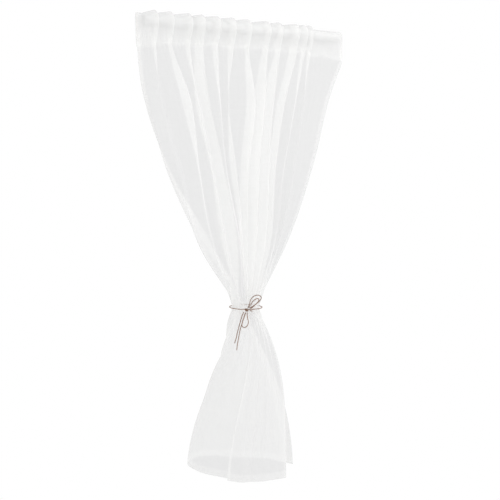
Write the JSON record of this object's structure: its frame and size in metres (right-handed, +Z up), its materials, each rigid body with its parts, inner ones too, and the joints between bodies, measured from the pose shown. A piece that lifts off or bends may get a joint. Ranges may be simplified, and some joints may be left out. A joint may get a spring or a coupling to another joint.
{
  "type": "sheer voile curtain on a rod",
  "caption": "Sheer voile curtain gathered on a plain round rod through a sewn pocket, drawn in at the waist by a twine bow, with a flared hem below.",
  "frame": {"origin": "middle of the rod's left end face, as seen from the room", "axes": "+X along the rod to its right end, +Z up, -Y towards the room"},
  "size_m": [0.6908, 0.2457, 1.3172],
  "materials": {
    "voile": "sheer matt white plain weave",
    "rod_enamel": "satin white",
    "twine": "matt two-ply twist"
  },
  "bodies": {
    "root": {"rod": "rod_enamel", "curtain_panel": "voile", "tie_band": "twine", "tie_knot": "twine", "tie_loop_outer": "twine", "tie_loop_inner": "twine", "tie_loop_lower": "twine", "tie_end_long": "twine", "tie_end_short": "twine", "tie_stub": "twine"}
  },
  "joints": []
}
